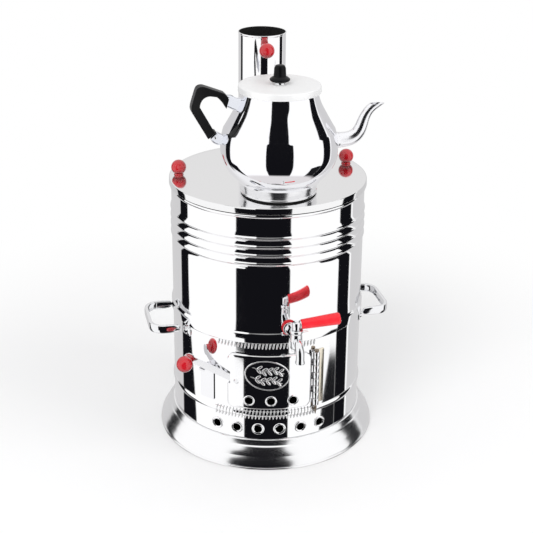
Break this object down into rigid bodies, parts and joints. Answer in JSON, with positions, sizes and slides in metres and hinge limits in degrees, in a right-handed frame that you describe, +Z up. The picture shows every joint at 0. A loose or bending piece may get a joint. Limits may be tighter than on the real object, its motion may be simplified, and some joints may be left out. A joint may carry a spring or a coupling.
{
  "type": "charcoal samovar",
  "caption": "Charcoal samovar: flared base, firebox with latched door, ribbed water tank with plug tap, loop handles, knobbed lid, chimney pipe, teapot on top.",
  "frame": {"origin": "centre of the round base, on the floor it stands on", "axes": "+Z up along the body's axis; the tap points along -Y (front); the carrying handles lie on +X and -X; the chimney is toward +Y"},
  "size_m": [0.312, 0.3197, 0.51],
  "materials": {
    "polished_steel": "mirror polished stainless steel",
    "inner_steel": "dull stainless sheet, inside",
    "grate_iron": "dark raw iron",
    "tap_chrome": "bright chrome plate",
    "hinge_brass": "pale brass",
    "red_bakelite": "deep red glossy bakelite",
    "red_grip": "bright red glossy plastic",
    "red_rubber": "red rubber seal",
    "black_bakelite": "black bakelite",
    "pot_aluminium": "polished aluminium",
    "pot_lid_satin": "pale satin aluminium",
    "brass_nut": "plain brass"
  },
  "bodies": {
    "samovar": {"base_ring": "polished_steel", "base_plate": "inner_steel", "firebox_casing": "polished_steel", "grate_ledge": "inner_steel", "fire_grate": "grate_iron", "tank_shell": "polished_steel", "tank_floor": "inner_steel", "flue_tube": "inner_steel", "handle_left": "tap_chrome", "handle_right": "tap_chrome", "handle_rivets": "tap_chrome", "hinge_leaf": "hinge_brass", "hinge_pin": "hinge_brass", "latch_keeper": "polished_steel", "tap_body": "tap_chrome", "tap_seal": "red_rubber", "tap_backnut": "brass_nut"},
    "door": {"door_panel": "polished_steel", "latch_rivet": "tap_chrome"},
    "latch": {"latch_lever": "tap_chrome", "latch_knob": "red_bakelite"},
    "tap_lever": {"tap_plug": "tap_chrome", "tap_grip": "red_grip", "tap_nut": "tap_chrome"},
    "lid": {"lid_disc": "polished_steel", "lid_knobs": "red_bakelite", "lid_screws": "tap_chrome"},
    "chimney": {"chimney_pipe": "polished_steel", "chimney_knob": "red_bakelite", "chimney_stud": "tap_chrome"},
    "teapot": {"teapot_body": "pot_aluminium", "teapot_foot": "pot_aluminium", "teapot_spout": "pot_aluminium", "teapot_handle": "black_bakelite", "teapot_ferrules": "tap_chrome", "teapot_pins": "tap_chrome"},
    "teapot_lid": {"pot_lid": "pot_lid_satin", "pot_knob": "black_bakelite", "pot_screw": "tap_chrome"}
  },
  "joints": [
    {"name": "door_hinge", "type": "hinge", "parent": "samovar", "child": "door", "pos_m": [0.03533, -0.11928, 0.113], "axis": [0, 0, 1], "range_deg": [0, 105]},
    {"name": "latch_pivot", "type": "hinge", "parent": "door", "child": "latch", "pos_m": [-0.0606, -0.10496, 0.113], "axis": [0.5, 0.866, 0], "range_deg": [0, 33]},
    {"name": "tap_turn", "type": "hinge", "parent": "samovar", "child": "tap_lever", "pos_m": [0, -0.155, 0.19], "axis": [0, 0, -1], "range_deg": [0, 90]},
    {"name": "lid_lift", "type": "slide", "parent": "samovar", "child": "lid", "axis": [0, 0, 1], "range_m": [0, 0.06]},
    {"name": "chimney_lift", "type": "slide", "parent": "lid", "child": "chimney", "axis": [0, 0, 1], "range_m": [0, 0.12]},
    {"name": "teapot_lift", "type": "slide", "parent": "lid", "child": "teapot", "axis": [0, -0.342, 0.9397], "range_m": [0, 0.1]},
    {"name": "teapot_lid_lift", "type": "slide", "parent": "teapot", "child": "teapot_lid", "axis": [0, 0, 1], "range_m": [0, 0.015]}
  ]
}
